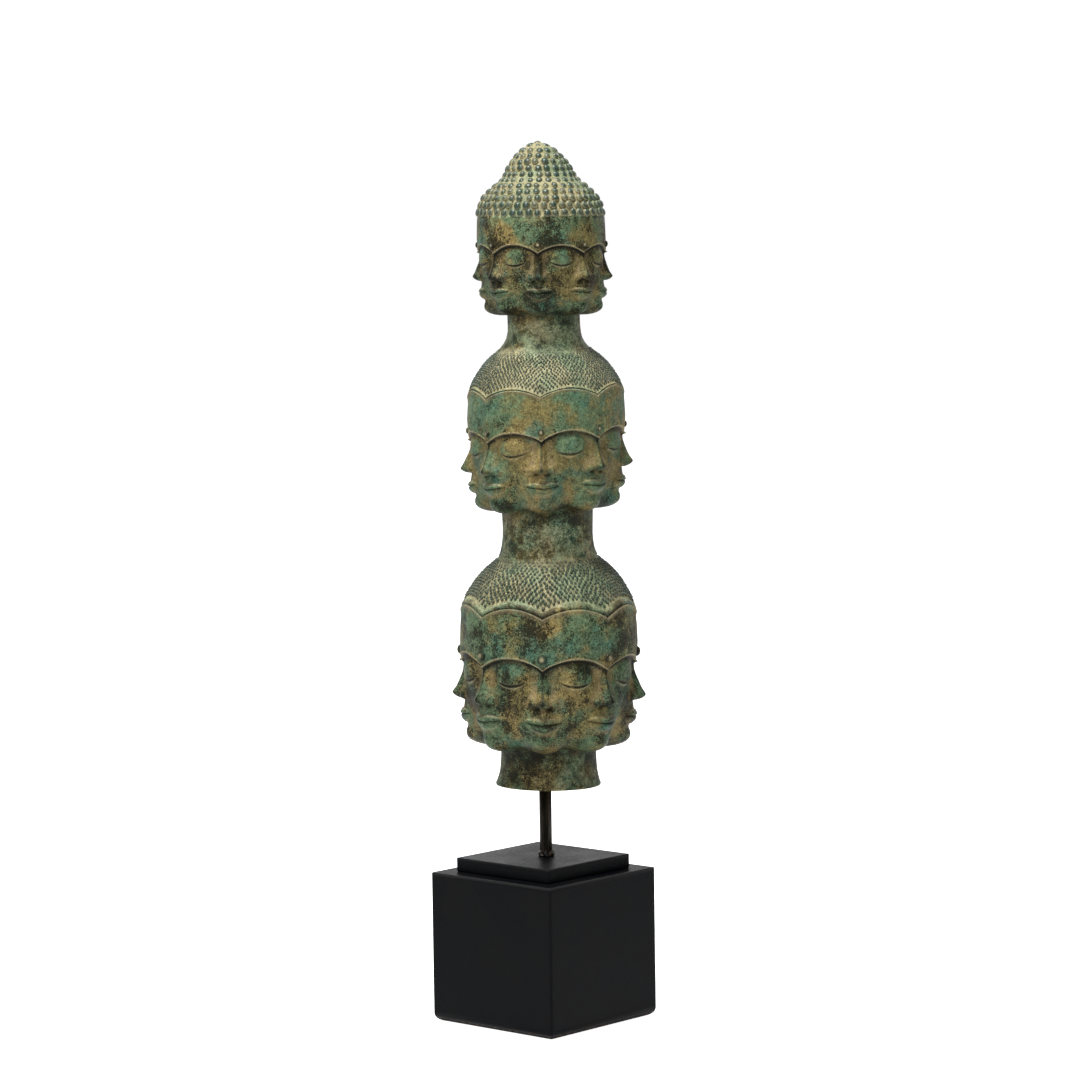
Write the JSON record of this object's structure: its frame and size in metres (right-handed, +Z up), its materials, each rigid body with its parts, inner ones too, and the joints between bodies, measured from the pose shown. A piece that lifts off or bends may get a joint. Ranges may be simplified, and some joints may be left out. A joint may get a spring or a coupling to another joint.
{
  "type": "bronze multi-faced buddha head totem on a stand",
  "caption": "Stacked bronze heads, each ringed with calm faces that share eyes, under one curled crown, on a thin rod and a stepped black block.",
  "frame": {"origin": "middle of the block's underside", "axes": "+Z up, from the block to the crown; X and Y along the block's two sides; the pictured corner is between +X and -Y"},
  "size_m": [0.1091, 0.1091, 0.508],
  "materials": {
    "patinated_bronze": "cast bronze with a mottled green, teal and brown patina, dark and slightly shiny on raised edges, ochre dust in hollows",
    "blackened_steel": "blackened steel rod with a brown sheen and a rough weld bead at its foot",
    "black_paint": "satin black paint on wood, rubbed at the arrises"
  },
  "bodies": {
    "root": {"heads_casting": "patinated_bronze", "rod": "blackened_steel", "plinth_plate": "black_paint", "plinth_block": "black_paint"}
  },
  "joints": []
}
